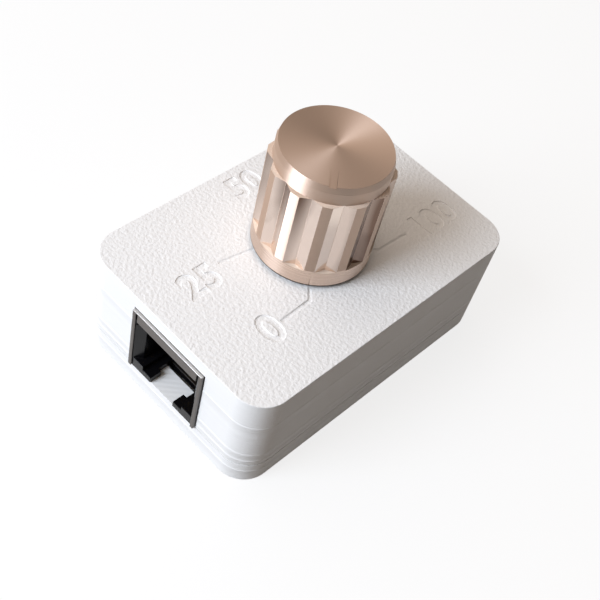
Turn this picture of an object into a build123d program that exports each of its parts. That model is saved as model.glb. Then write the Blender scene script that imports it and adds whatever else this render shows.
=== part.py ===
from build123d import *
import os
from math import cos, radians, sin

# LED dimmer: a printed two-piece box with a modular jack in one short end and a fluted knob on top.
# All sizes are in mm. The origin is the middle of the box's underside, +X runs along the long side
# away from the jack, and +Z is up.

# Box
box_length = 60.0
box_width = 40.0
box_height = 21.0
corner_radius = 5.2
wall = 2.4
top_wall = 2.0
seam_height = 4.4
cover_floor = 1.6
lip_height = 1.5
lip_thickness = 1.6

# Fits
printed_clearance = 0.2
port_clearance = 0.15
slip_clearance = 0.05
press_clearance = 0.02
running_clearance = 0.05

# Screws that close the box
cover_screw_inset = 5.0
cover_post_radius = 3.0
cover_screw_core = 1.1
cover_screw_head = 2.4
cover_screw_hole = 1.4
cover_screw_length = 9.0
cover_screw_sink = 0.2
pilot_spare = 0.8
cross_slot_width = 0.6
cross_slot_depth = 0.7
cross_slot_length = 2.4

# Circuit board and what holds it
board_length = 41.6
board_width = 23.0
board_thickness = 1.6
board_corner = 1.0
board_gap_to_rim = 1.2
board_post_radius = 2.0
board_rest_radius = 1.4
board_rest_inset = 1.5
board_screw_core = 0.9
board_screw_head = 2.0
board_screw_head_height = 1.2
board_screw_length = 3.2
board_screw_from_front = 35.6
board_screw_y = 8.0

# Modular jack with eight contacts
jack_width = 16.0
jack_headroom = 0.6
jack_depth = 18.4
jack_proud = 0.55
jack_middle_y = -0.5
shield_sheet = 0.3
shield_top_flange = 2.1
shield_side_flange = 0.7
shield_notch = 0.45
shield_strap_length = 2.5
shield_strap_setback = 0.9
shield_tab_width = 1.4
shield_tab_length = 2.5
shield_tab_back = 11.6
plug_width = 11.9
plug_roof = 3.3
plug_depth = 13.6
plug_floor = 2.1
latch_step_width = 9.4
latch_step_height = 0.9
latch_depth = 11.5
keyway_width = 7.0
keyway_mouth_width = 5.5
keyway_foot_depth = 2.3
lead_in_depth = 1.2
contact_count = 8
contact_pitch = 1.02
contact_width = 0.45
contact_thickness = 0.35
contact_run_above_roof = 0.65
contact_comb_start = 4.35
contact_front = 5.4
contact_free_end_back = 11.0
contact_free_end_drop = 3.6
contact_row_gap = 2.2
contact_last_row = 1.4
solder_tail = 0.9
carrier_depth = 4.0
carrier_width = 11.0
tail_hole = 0.45

# Potentiometer, 16 mm panel type
plate_radius = 8.05
plate_thickness = 1.0
bushing_radius = 3.5
bushing_length = 5.5
locating_tab_width = 2.6
locating_tab_depth = 1.2
locating_tab_height = 1.1
locating_tab_radius = 7.2
shaft_radius = 3.0
shaft_above_box = 15.0
shaft_flat = 1.5
shaft_collar_radius = 3.7
shaft_chamfer = 0.5
clip_groove_radius = 2.4
clip_thickness = 0.5
clip_radius = 3.9
clip_mouth = 3.6
washer_radius = 6.0
washer_thickness = 0.5
nut_sides = 6
nut_across_flats = 10.0
nut_thickness = 2.0
nut_chamfer = 0.4
wafer_radius = 8.0
wafer_thickness = 1.4
wafer_hole_radius = 4.0
wafer_tongue_reach = 11.2
wafer_tongue_width = 13.2
track_thickness = 0.1
track_inner_radius = 5.0
track_outer_radius = 7.2
track_margin_angle = 10.0
rotor_radius = 6.4
rotor_thickness = 2.0
rotor_below_wafer = 0.7
rotor_hub_radius = 4.6
rotor_hub_length = 1.3
rotor_nib_radius = 7.7
rotor_nib_angle = 30.0
stop_inner_radius = 6.95
stop_height_spare = 0.2
stop_angle_spare = 0.5
wiper_sheet = 0.2
wiper_outer_radius = 5.4
wiper_inner_radius = 4.0
wiper_arm_width = 1.6
wiper_lift = 0.1
case_radius = 8.5
case_sheet = 0.4
case_depth = 7.8
case_lug_width = 2.4
case_lug_reach = 1.1
case_lug_angles = (65.0, 155.0)
terminal_count = 3
terminal_pitch = 5.0
terminal_width = 1.8
terminal_sheet = 0.5
terminal_start = 8.7
terminal_reach = 12.7
terminal_drop = 5.4
terminal_eye = 0.5
rivet_radius = 0.7
rivet_reach = 10.0
rivet_head_radius = 1.4
rivet_head = 0.3
lead_diameter = 0.8
lead_drop_at_terminal = 1.8
lead_rise_at_board = 2.1
lead_inward_step = 2.15
lead_bend_share = 0.45

# Knob
knob_radius = 10.0
knob_height = 21.0
knob_gap = 0.4
knob_band = 3.4
knob_neck_radius = 9.2
knob_neck_height = 3.2
knob_bevel_height = 1.1
knob_bevel = 0.3
knob_foot_chamfer = 0.25
knob_cavity_radius = 7.6
knob_cavity_depth = 4.4
flute_count = 12
flute_floor_radius = 9.15
flute_width = 3.6
pointer_angle = -140.0
pointer_width = 1.2
pointer_length = 4.6
pointer_depth = 0.25
insert_radius = 5.0
insert_length = 13.0
insert_drop = 0.4
insert_bore_spare = 0.3

# Travel of the knob, turned clockwise from above
dial_middle_angle = 90.0
knob_travel = 280.0

# Small round holes and pins that repeat are drawn with this many sides, to keep the model light
small_round_sides = 12

# Levels that several pieces share
inside_top = box_height - top_wall
rim_thickness = wall + printed_clearance + lip_thickness
board_top = seam_height
board_bottom = board_top - board_thickness
board_start = -box_length / 2 + rim_thickness + board_gap_to_rim
jack_front = -box_length / 2 - jack_proud
jack_back = jack_front + jack_depth
jack_bottom = seam_height
jack_top = inside_top - jack_headroom
plug_bottom = jack_bottom + plug_floor
plug_top = jack_top - plug_roof
contact_level = plug_top + contact_run_above_roof
tail_end = board_bottom - solder_tail
wafer_top = inside_top - plate_thickness
wafer_bottom = wafer_top - wafer_thickness
track_bottom = wafer_bottom - track_thickness
rotor_top = wafer_bottom - rotor_below_wafer
rotor_bottom = rotor_top - rotor_thickness
shaft_bottom = rotor_bottom - rotor_hub_length
bushing_top = inside_top + bushing_length
knob_bottom = box_height + knob_gap
knob_top = knob_bottom + knob_height
cavity_top = knob_bottom + knob_cavity_depth
insert_bottom = cavity_top - insert_drop
case_inner_radius = case_radius - case_sheet
case_bottom = wafer_top - case_depth
terminal_bottom = wafer_bottom - terminal_drop
# the terminals, the track's gap and the stop are on the side away from the dial's middle, and the
# stop leaves the travel free between it and the rotor's nib
stop_angle = 360.0 - knob_travel - rotor_nib_angle
terminal_angle = dial_middle_angle - 180.0
terminal_side = Rot(0, 0, terminal_angle)


def block(x_low, x_high, y_low, y_high, z_low, z_high):
    """Box between two corners."""
    corner = (Align.MIN, Align.MIN, Align.MIN)
    return Pos(x_low, y_low, z_low) * Box(x_high - x_low, y_high - y_low, z_high - z_low, align=corner)


def disc(radius, z_low, z_high, x=0.0, y=0.0):
    """Upright cylinder between two levels."""
    foot = (Align.CENTER, Align.CENTER, Align.MIN)
    return Pos(x, y, z_low) * Cylinder(radius, z_high - z_low, align=foot)


def small_pin(radius, z_low, z_high, x=0.0, y=0.0):
    """Small upright pin or hole between two levels, drawn with few sides."""
    plan = Pos(x, y, z_low) * RegularPolygon(radius, small_round_sides)
    return extrude(plan, z_high - z_low)


def cone(low_radius, high_radius, z_low, z_high, x=0.0, y=0.0):
    """Upright cone between two levels."""
    foot = (Align.CENTER, Align.CENTER, Align.MIN)
    return Pos(x, y, z_low) * Cone(low_radius, high_radius, z_high - z_low, align=foot)


def ring(outer, inner, z_low, z_high):
    """Upright tube on the knob's axis."""
    return disc(outer, z_low, z_high) - disc(inner, z_low, z_high)


def box_plan(inset, z_low, z_high):
    """Rounded plan of the box, drawn in by an inset."""
    plan = RectangleRounded(box_length - 2 * inset, box_width - 2 * inset, corner_radius - inset)
    return extrude(Pos(0, 0, z_low) * plan, z_high - z_low)


def sector(outer, inner, middle_angle, angle, z_low, z_high):
    """Piece of an upright tube that spans an angle about a middle direction."""
    start = middle_angle - angle / 2
    inner_arc = CenterArc((0, 0, 0), inner, start, angle)
    outer_arc = CenterArc((0, 0, 0), outer, start, angle)
    sides = [Line(inner_arc @ 0, outer_arc @ 0), Line(inner_arc @ 1, outer_arc @ 1)]
    plan = make_face([inner_arc, outer_arc] + sides)
    return extrude(Pos(0, 0, z_low) * plan, z_high - z_low)


def cover_screw_places():
    """Plan positions of the four corner screws."""
    x = box_length / 2 - cover_screw_inset
    y = box_width / 2 - cover_screw_inset
    return [(i * x, j * y) for i in (-1, 1) for j in (-1, 1)]


def board_screw_places():
    """Plan positions of the two board screws."""
    return [(board_start + board_screw_from_front, i * board_screw_y) for i in (-1, 1)]


def contact_places():
    """Side positions of the contacts, each with the distance of its tail from the jack's back."""
    first = jack_middle_y - contact_pitch * (contact_count - 1) / 2
    back = contact_last_row + shield_sheet
    return [(first + i * contact_pitch, back + (i % 2) * contact_row_gap) for i in range(contact_count)]


def terminal_places():
    """Side positions of the potentiometer's terminals."""
    return [(i - (terminal_count - 1) / 2) * terminal_pitch for i in range(terminal_count)]


def housing_shell():
    """Printed upper shell: top, side walls and corner posts, open below for the base cover."""
    shell = box_plan(0, seam_height, box_height) - box_plan(wall, seam_height, inside_top)
    for x, y in cover_screw_places():
        shell += disc(cover_post_radius, seam_height, inside_top, x, y)
    pilot_top = cover_screw_sink + cover_screw_length + pilot_spare
    for x, y in cover_screw_places():
        shell -= small_pin(cover_screw_core + press_clearance, seam_height, pilot_top, x, y)
    half_port = jack_width / 2 + port_clearance
    wall_outside = -box_length / 2 - wall
    wall_inside = -box_length / 2 + rim_thickness
    port_top = jack_top + port_clearance
    y_low = jack_middle_y - half_port
    y_high = jack_middle_y + half_port
    shell -= block(wall_outside, wall_inside, y_low, y_high, seam_height, port_top)
    shell -= disc(bushing_radius + port_clearance, inside_top, box_height)
    tab_half = locating_tab_width / 2 + port_clearance
    tab_near = locating_tab_radius - locating_tab_depth / 2 - port_clearance
    tab_far = locating_tab_radius + locating_tab_depth / 2 + port_clearance
    tab_top = inside_top + locating_tab_height + port_clearance
    recess = block(-tab_far, -tab_near, -tab_half, tab_half, inside_top, tab_top)
    return shell - terminal_side * recess


def base_cover():
    """Printed bottom cover: floor, thick rim, inner lip, screw posts and board rests."""
    cover = box_plan(0, 0, seam_height)
    lip = box_plan(wall + printed_clearance, seam_height, seam_height + lip_height)
    half_port = jack_width / 2 + port_clearance + printed_clearance
    y_low = jack_middle_y - half_port
    y_high = jack_middle_y + half_port
    lip -= block(-box_length / 2, board_start, y_low, y_high, seam_height, seam_height + lip_height)
    for x, y in cover_screw_places():
        gap_radius = cover_post_radius + printed_clearance
        lip -= disc(gap_radius, seam_height, seam_height + lip_height, x, y)
    cover += lip
    cover -= box_plan(rim_thickness, cover_floor, seam_height + lip_height)
    for x, y in cover_screw_places():
        cover += disc(cover_post_radius, cover_floor, seam_height, x, y)
    rest_x = board_start + board_rest_inset
    rest_y = board_width / 2 - board_rest_inset
    for side in (-1, 1):
        cover += disc(board_rest_radius, cover_floor, board_bottom, rest_x, side * rest_y)
    for x, y in board_screw_places():
        cover += disc(board_post_radius, cover_floor, board_bottom, x, y)
        pilot_end = board_top - board_screw_length - press_clearance
        cover -= small_pin(board_screw_core + press_clearance, pilot_end, board_bottom, x, y)
    mouth = cover_screw_head + cover_screw_sink + slip_clearance
    for x, y in cover_screw_places():
        cover -= cone(mouth, cover_screw_hole, 0, mouth - cover_screw_hole, x, y)
        cover -= disc(cover_screw_hole, 0, seam_height, x, y)
    return cover


def cover_screws():
    """Four countersunk screws that go up through the base cover into the shell's posts."""
    screws = []
    cone_height = cover_screw_head - cover_screw_core
    neck = cover_screw_sink + cone_height
    tip = cover_screw_sink + cover_screw_length
    for x, y in cover_screw_places():
        screw = cone(cover_screw_head, cover_screw_core, cover_screw_sink, neck, x, y)
        screw += small_pin(cover_screw_core, neck, tip, x, y)
        reach = cross_slot_length / 2
        slot_top = cover_screw_sink + cross_slot_depth
        half = cross_slot_width / 2
        screw -= block(x - reach, x + reach, y - half, y + half, 0, slot_top)
        screw -= block(x - half, x + half, y - reach, y + reach, 0, slot_top)
        screws.append(screw)
    return Compound(children=screws)


def circuit_board():
    """Board under the jack, with holes for the contact tails, the shield's tabs and its screws."""
    middle_x = board_start + board_length / 2
    plan = Pos(middle_x, 0, board_bottom) * RectangleRounded(board_length, board_width, board_corner)
    board = extrude(plan, board_thickness)
    for y, back in contact_places():
        board -= small_pin(tail_hole, board_bottom, board_top, jack_back - back, y)
    tab_x = jack_front + shield_tab_back
    tab_y = jack_width / 2 - shield_sheet / 2
    slot_length = shield_tab_width / 2 + port_clearance
    slot_width = shield_sheet / 2 + port_clearance
    for side in (-1, 1):
        y = jack_middle_y + side * tab_y
        x_low = tab_x - slot_length
        x_high = tab_x + slot_length
        board -= block(x_low, x_high, y - slot_width, y + slot_width, board_bottom, board_top)
    for x, y in board_screw_places():
        board -= disc(board_screw_core + printed_clearance, board_bottom, board_top, x, y)
    return board


def board_screws():
    """Two pan-head screws that hold the board down."""
    screws = []
    for x, y in board_screw_places():
        head_top = board_top + board_screw_head_height
        screw = disc(board_screw_head, board_top, head_top, x, y)
        screw += small_pin(board_screw_core, board_top - board_screw_length, board_top, x, y)
        half = cross_slot_width / 2
        reach = cross_slot_length / 2
        slot_bottom = head_top - cross_slot_depth
        screw -= block(x - reach, x + reach, y - half, y + half, slot_bottom, head_top)
        screw -= block(x - half, x + half, y - reach, y + reach, slot_bottom, head_top)
        screws.append(screw)
    return Compound(children=screws)


def jack_shield():
    """Folded steel shield: top, sides, back, front frame, bottom strap and two solder tabs."""
    half = jack_width / 2
    middle = jack_middle_y
    shield = block(jack_front, jack_back, middle - half, middle + half, jack_bottom, jack_top)
    inner = half - shield_sheet
    inner_top = jack_top - shield_sheet
    inner_front = jack_front + shield_sheet
    inner_back = jack_back - shield_sheet
    shield -= block(inner_front, inner_back, middle - inner, middle + inner, jack_bottom, inner_top)
    window = half - shield_side_flange
    window_top = jack_top - shield_top_flange
    shield -= block(jack_front, inner_front, middle - window, middle + window, jack_bottom, window_top)
    for side in (-1, 1):
        edges = sorted((middle + side * window, middle + side * (window - shield_notch)))
        shield -= block(jack_front, inner_front, edges[0], edges[1], window_top, inner_top)
    strap_start = -box_length / 2 + rim_thickness + shield_strap_setback
    strap_end = strap_start + shield_strap_length
    strap_top = jack_bottom + shield_sheet
    shield += block(strap_start, strap_end, middle - half, middle + half, jack_bottom, strap_top)
    tab_x = jack_front + shield_tab_back
    for side in (-1, 1):
        faces = sorted((middle + side * half, middle + side * inner))
        x_low = tab_x - shield_tab_width / 2
        x_high = tab_x + shield_tab_width / 2
        tab_bottom = jack_bottom - shield_tab_length
        shield += block(x_low, x_high, faces[0], faces[1], tab_bottom, jack_bottom)
    return shield


def contact_line(back, thickness, grow=0.0):
    """Side outline of one contact: solder tail, run over the plug cavity and sprung free end."""
    tail_x = jack_back - back
    bend_x = jack_front + contact_front
    low_bend = (bend_x - contact_thickness, contact_level - 2 * contact_thickness)
    free_end = (jack_front + contact_free_end_back, contact_level - contact_free_end_drop)
    points = [(tail_x, tail_end), (tail_x, contact_level), (bend_x, contact_level), low_bend, free_end]
    line = Polyline(*points)
    return Plane.XZ * trace(line, thickness + 2 * grow)


def contact_solid(y, back, grow=0.0):
    """One contact, or the slot that it lies in when it is grown by a clearance."""
    half = contact_width / 2 + grow
    face = Pos(0, y + half, 0) * contact_line(back, contact_thickness, grow)
    return extrude(face, 2 * half)


def jack_contacts():
    """Eight sprung contact wires."""
    return Compound(children=[contact_solid(y, back) for y, back in contact_places()])


def jack_insert():
    """Black moulded jack body with its plug cavity, latch step, keyway and front feet."""
    middle = jack_middle_y
    half = jack_width / 2 - shield_sheet - slip_clearance
    front = jack_front + shield_sheet
    back = jack_back - shield_sheet - slip_clearance
    bottom = jack_bottom + slip_clearance
    top = jack_top - shield_sheet - slip_clearance
    body = block(front, back, middle - half, middle + half, bottom, top)
    plug_half = plug_width / 2
    plug_end = jack_front + plug_depth
    body -= block(front, plug_end, middle - plug_half, middle + plug_half, plug_bottom, plug_top)
    step_half = latch_step_width / 2
    step_bottom = plug_bottom - latch_step_height
    latch_end = jack_front + latch_depth
    body -= block(front, latch_end, middle - step_half, middle + step_half, step_bottom, plug_bottom)
    mouth_half = keyway_mouth_width / 2
    foot_end = front + keyway_foot_depth
    body -= block(front, latch_end, middle - mouth_half, middle + mouth_half, bottom, step_bottom)
    key_half = keyway_width / 2
    body -= block(foot_end, latch_end, middle - key_half, middle + key_half, bottom, step_bottom)
    # lead-in slopes from the shield's window to the plug cavity, on both sides and above
    window = jack_width / 2 - shield_side_flange
    window_top = jack_top - shield_top_flange
    inner_x = front + lead_in_depth
    for side in (-1, 1):
        corners = [(front, middle + side * plug_half), (inner_x, middle + side * plug_half)]
        corners.append((front, middle + side * window))
        wedge = make_face(Polyline(*corners, close=True))
        body -= extrude(Pos(0, 0, plug_bottom) * wedge, window_top - plug_bottom)
    corners = [(front, plug_top), (inner_x, plug_top), (front, window_top)]
    wedge = Plane.XZ * make_face(Polyline(*corners, close=True))
    body -= extrude(Pos(0, middle + window, 0) * wedge, 2 * window)
    # room for the contacts in the roof and for their carrier at the back
    comb_half = contact_pitch * contact_count / 2
    comb_front = jack_front + contact_comb_start
    comb_top = contact_level + contact_thickness
    body -= block(comb_front, plug_end, middle - comb_half, middle + comb_half, plug_top, comb_top)
    pocket_half = carrier_width / 2 + slip_clearance
    pocket_front = back - carrier_depth - slip_clearance
    pocket_top = comb_top + slip_clearance
    body -= block(pocket_front, back, middle - pocket_half, middle + pocket_half, bottom, pocket_top)
    body -= block(plug_end, pocket_front, middle - comb_half, middle + comb_half, plug_top, comb_top)
    strap_start = -box_length / 2 + rim_thickness + shield_strap_setback - slip_clearance
    strap_end = strap_start + shield_strap_length + 2 * slip_clearance
    strap_top = jack_bottom + shield_sheet + slip_clearance
    return body - block(strap_start, strap_end, middle - half, middle + half, bottom, strap_top)


def jack_contact_block():
    """Carrier behind the plug cavity, slotted for the contacts."""
    middle = jack_middle_y
    half = carrier_width / 2
    back = jack_back - shield_sheet - slip_clearance
    bottom = jack_bottom + slip_clearance
    top = contact_level + contact_thickness
    carrier = block(back - carrier_depth, back, middle - half, middle + half, bottom, top)
    for y, tail in contact_places():
        carrier -= contact_solid(y, tail, press_clearance)
    return carrier


def pot_bushing():
    """Front plate with the threaded bushing and the tab that stops the potentiometer turning."""
    body = disc(plate_radius, wafer_top, inside_top)
    body += disc(bushing_radius, inside_top, bushing_top)
    body -= disc(shaft_radius + running_clearance, wafer_top, bushing_top)
    half = locating_tab_width / 2
    near = locating_tab_radius - locating_tab_depth / 2
    far = locating_tab_radius + locating_tab_depth / 2
    tab_top = inside_top + locating_tab_height
    body += terminal_side * block(-far, -near, -half, half, inside_top, tab_top)
    slot_half = case_lug_width / 2 + slip_clearance
    slot_start = plate_radius - case_lug_reach - slip_clearance
    slot = block(slot_start, case_radius, -slot_half, slot_half, wafer_top, inside_top)
    for place in case_lug_places():
        body -= place * slot
    return body


def case_lug_places():
    """Directions of the case's four folded lugs, clear of the terminal window."""
    return [terminal_side * Rot(0, 0, i * angle) for i in (-1, 1) for angle in case_lug_angles]


def pot_case():
    """Pressed steel case with a window for the terminals, folded lugs and the inward stop."""
    case = disc(case_radius, case_bottom, wafer_top)
    case -= disc(case_inner_radius, case_bottom + case_sheet, wafer_top)
    half = wafer_tongue_width / 2 + printed_clearance
    window_bottom = wafer_bottom - terminal_sheet - printed_clearance
    case -= terminal_side * block(0, case_radius, -half, half, window_bottom, wafer_top)
    lug_half = case_lug_width / 2
    lug_top = inside_top - slip_clearance
    lug_foot = plate_radius - case_lug_reach
    lug_outside = case_radius - slip_clearance
    root_bottom = wafer_top - case_sheet
    lug = block(case_inner_radius, lug_outside, -lug_half, lug_half, root_bottom, lug_top)
    lug += block(lug_foot, case_inner_radius, -lug_half, lug_half, lug_top - case_sheet, lug_top)
    for place in case_lug_places():
        case += place * lug
    low = rotor_bottom - stop_height_spare
    high = rotor_top + stop_height_spare
    angle = stop_angle - 2 * stop_angle_spare
    wall_middle = case_radius - case_sheet / 2
    return case + sector(wall_middle, stop_inner_radius, terminal_angle, angle, low, high)


def pot_washer():
    """Plain washer between the box top and the nut."""
    inner = bushing_radius + port_clearance
    return ring(washer_radius, inner, box_height, box_height + washer_thickness)


def pot_nut():
    """Hexagon nut on the bushing, chamfered at its corners."""
    low = box_height + washer_thickness
    high = low + nut_thickness
    plan = RegularPolygon(nut_across_flats / 2, nut_sides, major_radius=False)
    nut = extrude(Pos(0, 0, low) * plan, nut_thickness)
    corner = nut_across_flats / 2 / cos(radians(180 / nut_sides))
    dome = disc(corner, low, high - nut_chamfer)
    dome += cone(corner, corner - 2 * nut_chamfer, high - nut_chamfer, high)
    return (nut & dome) - disc(bushing_radius + press_clearance, low, high)


def pot_shaft():
    """Shaft with a flat for the knob, a clip groove, a collar and a flat for the rotor."""
    top = box_height + shaft_above_box
    shaft = disc(shaft_radius, shaft_bottom, top)
    shaft += disc(shaft_collar_radius, rotor_top, wafer_top - slip_clearance)
    clip_low = bushing_top + slip_clearance
    shaft -= ring(shaft_radius, clip_groove_radius, clip_low, clip_low + clip_thickness)
    shaft = chamfer(shaft.edges().filter_by(GeomType.CIRCLE).sort_by(Axis.Z)[-1], shaft_chamfer)
    flat_start = clip_low + clip_thickness + slip_clearance
    cut = block(shaft_flat, shaft_radius, -shaft_radius, shaft_radius, flat_start, top)
    cut += block(shaft_flat, shaft_radius, -shaft_radius, shaft_radius, shaft_bottom, rotor_top)
    return shaft - Rot(0, 0, pointer_angle) * cut


def shaft_clip():
    """C clip in the shaft's groove, above the bushing."""
    low = bushing_top + slip_clearance
    clip = ring(clip_radius, clip_groove_radius + press_clearance, low, low + clip_thickness)
    half = clip_mouth / 2
    return clip - Rot(0, 0, pointer_angle) * block(0, clip_radius, -half, half, low, low + clip_thickness)


def shaft_bore(z_low, z_high, clearance):
    """D-shaped bore that fits the shaft's flat."""
    bore = disc(shaft_radius + clearance, z_low, z_high)
    reach = shaft_radius + 2 * clearance
    flat = block(shaft_flat + clearance, reach, -reach, reach, z_low, z_high)
    return bore - Rot(0, 0, pointer_angle) * flat


def pot_wafer():
    """Phenolic wafer under the front plate, with a tongue for the terminals."""
    wafer = disc(wafer_radius, wafer_bottom, wafer_top)
    half = wafer_tongue_width / 2
    wafer += block(track_inner_radius, wafer_tongue_reach, -half, half, wafer_bottom, wafer_top)
    wafer -= disc(wafer_hole_radius, wafer_bottom, wafer_top)
    for y in terminal_places():
        wafer -= small_pin(rivet_radius + press_clearance, wafer_bottom, wafer_top, rivet_reach, y)
    return terminal_side * wafer


def pot_track():
    """Resistive track printed on the wafer's underside, open towards the terminals."""
    angle = knob_travel + 2 * track_margin_angle
    outer = track_outer_radius
    inner = track_inner_radius
    return sector(outer, inner, dial_middle_angle, angle, track_bottom, wafer_bottom)


def pot_terminals():
    """Three solder terminals riveted to the wafer's tongue, bent down to the leads."""
    terminals = []
    half = terminal_width / 2
    sheet_bottom = wafer_bottom - terminal_sheet
    upright = terminal_reach - terminal_sheet
    eye_z = terminal_bottom + terminal_width / 2
    for y in terminal_places():
        strip = block(terminal_start, terminal_reach, y - half, y + half, sheet_bottom, wafer_bottom)
        strip += block(upright, terminal_reach, y - half, y + half, terminal_bottom, wafer_bottom)
        strip += small_pin(rivet_radius, wafer_bottom, wafer_top, rivet_reach, y)
        strip += disc(rivet_head_radius, wafer_top, wafer_top + rivet_head, rivet_reach, y)
        eye_plan = Plane.YZ * (Pos(y, eye_z) * RegularPolygon(terminal_eye, small_round_sides))
        eye = extrude(eye_plan, terminal_reach)
        terminals.append(terminal_side * (strip - eye))
    return Compound(children=terminals)


def pot_rotor():
    """Moulded rotor keyed to the shaft, with the nib that meets the case's stop."""
    rotor = disc(rotor_radius, rotor_bottom, rotor_top)
    rotor += disc(rotor_hub_radius, shaft_bottom, rotor_bottom)
    angle = rotor_nib_angle
    rotor += sector(rotor_nib_radius, rotor_hub_radius, pointer_angle, angle, rotor_bottom, rotor_top)
    return rotor - shaft_bore(shaft_bottom, rotor_top, press_clearance)


def pot_wiper():
    """Sprung wiper on the rotor, with a raised contact under the track."""
    sheet_top = rotor_top + wiper_sheet
    wiper = ring(wiper_outer_radius, wiper_inner_radius, rotor_top, sheet_top)
    half = wiper_arm_width / 2
    track_middle = (track_inner_radius + track_outer_radius) / 2
    tip = track_middle + half
    contact_top = track_bottom - wiper_lift
    ring_middle = (wiper_inner_radius + wiper_outer_radius) / 2
    arm = block(ring_middle, tip, -half, half, rotor_top, sheet_top)
    arm += block(tip - half, tip, -half, half, sheet_top, contact_top)
    return wiper + Rot(0, 0, pointer_angle) * arm


def lead_wire(y):
    """One lead from a terminal's end down to the board: straight runs joined by large arcs."""
    x_start = terminal_reach - terminal_sheet / 2
    x_end = x_start - lead_inward_step
    high_bend = terminal_bottom - lead_drop_at_terminal
    low_bend = board_top + lead_rise_at_board
    spots = [Vector(x_start, y, terminal_bottom), Vector(x_start, y, high_bend)]
    spots += [Vector(x_end, y, low_bend), Vector(x_end, y, board_top)]
    runs = [spots[i + 1] - spots[i] for i in range(3)]
    radii = []
    for i in range(2):
        turn = radians(runs[i].get_angle(runs[i + 1]))
        shorter = min(runs[i].length, runs[i + 1].length)
        radii.append(lead_bend_share * shorter * cos(turn / 2) / sin(turn / 2))
    path = FilletPolyline(*spots, radius=radii)
    section = Plane(origin=spots[0], z_dir=runs[0]) * RegularPolygon(lead_diameter / 2, small_round_sides)
    print("lead bend radii", [round(r, 2) for r in radii], "diameter", lead_diameter)
    return terminal_side * sweep(section, path=path)


def knob_profile():
    """Half section of the knob's turned outside."""
    neck_start = knob_top - knob_neck_height
    bevel_start = knob_top - knob_bevel_height
    points = [
        (0, knob_bottom),
        (knob_radius - knob_foot_chamfer, knob_bottom),
        (knob_radius, knob_bottom + knob_foot_chamfer),
        (knob_radius, neck_start),
        (knob_neck_radius, neck_start),
        (knob_neck_radius, bevel_start),
        (knob_neck_radius - knob_bevel, knob_top),
        (0, knob_top),
    ]
    return Plane.XZ * make_face(Polyline(*points, close=True))


def flute_cut():
    """V-shaped cutter of one flute, its edges meeting the knob's outside at the flute's width."""
    half = flute_width / 2
    edge = (knob_radius ** 2 - half ** 2) ** 0.5
    slope_x = edge - flute_floor_radius
    past = 2.0
    far_x = flute_floor_radius + past * slope_x
    far_y = past * half
    plan = make_face(Polyline((flute_floor_radius, 0), (far_x, -far_y), (far_x, far_y), close=True))
    low = knob_bottom + knob_band
    high = knob_top - knob_neck_height
    return extrude(Pos(0, 0, low) * plan, high - low)


def pointer_slot():
    """Cutter of the pointer slot, which deepens from nothing to its full depth at the rim."""
    start = knob_neck_radius - pointer_length
    slope = pointer_depth / pointer_length
    end_depth = slope * (knob_radius - start)
    corners = [(start, knob_top), (knob_radius, knob_top), (knob_radius, knob_top - end_depth)]
    side = make_face(Polyline(*corners, close=True))
    return extrude(Plane.XZ * side, pointer_width / 2, both=True)


def knob_body():
    """Fluted aluminium knob: plain band, V flutes, neck, bevel, slot and hollow, chamfered foot."""
    knob = revolve(knob_profile(), Axis.Z)
    cutter = flute_cut()
    step = 360.0 / flute_count
    for i in range(flute_count):
        knob -= Rot(0, 0, pointer_angle + step * (i + 0.5)) * cutter
    knob -= disc(knob_cavity_radius, knob_bottom, cavity_top)
    bore_top = insert_bottom + insert_length + press_clearance
    knob -= disc(insert_radius + press_clearance, cavity_top, bore_top)
    return knob - Rot(0, 0, pointer_angle) * pointer_slot()


def knob_insert():
    """Plastic sleeve in the knob, with the D bore that grips the shaft."""
    top = insert_bottom + insert_length
    sleeve = disc(insert_radius, insert_bottom, top)
    bore_top = box_height + shaft_above_box + insert_bore_spare
    return sleeve - shaft_bore(insert_bottom, bore_top, press_clearance)


nodes = {
    "housing_shell": housing_shell(),
    "base_cover": base_cover(),
    "cover_screws": cover_screws(),
    "circuit_board": circuit_board(),
    "board_screws": board_screws(),
    "jack_shield": jack_shield(),
    "jack_insert": jack_insert(),
    "jack_contact_block": jack_contact_block(),
    "jack_contacts": jack_contacts(),
    "pot_bushing": pot_bushing(),
    "pot_case": pot_case(),
    "pot_washer": pot_washer(),
    "pot_nut": pot_nut(),
    "pot_shaft": pot_shaft(),
    "shaft_clip": shaft_clip(),
    "pot_wafer": pot_wafer(),
    "pot_track": pot_track(),
    "pot_terminals": pot_terminals(),
    "pot_rotor": pot_rotor(),
    "pot_wiper": pot_wiper(),
    "knob_body": knob_body(),
    "knob_insert": knob_insert(),
}
lead_names = ["lead_wire_high", "lead_wire_wiper", "lead_wire_low"]
for lead_name, lead_y in zip(lead_names, terminal_places()):
    nodes[lead_name] = lead_wire(lead_y)

os.makedirs("parts", exist_ok=True)
for node_name, solid in nodes.items():
    export_step(solid, f"parts/{node_name}.step")
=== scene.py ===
# %% [markdown]
# # LED dimmer
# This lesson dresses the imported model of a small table-top dimmer: a white printed box, a fluted
# champagne aluminium knob and a shielded modular jack in one end. The CAD model gives the frame, so
# every piece made here takes its place from it and nothing is moved to fit.
# We work in metres, as the frame does. Sizes are easier to read in millimetres, so each one is
# written in millimetres and multiplied by MM where it is used.

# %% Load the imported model
from math import cos, pi, radians, sin

import bmesh
import bpy
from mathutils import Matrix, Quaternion, Vector


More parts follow.
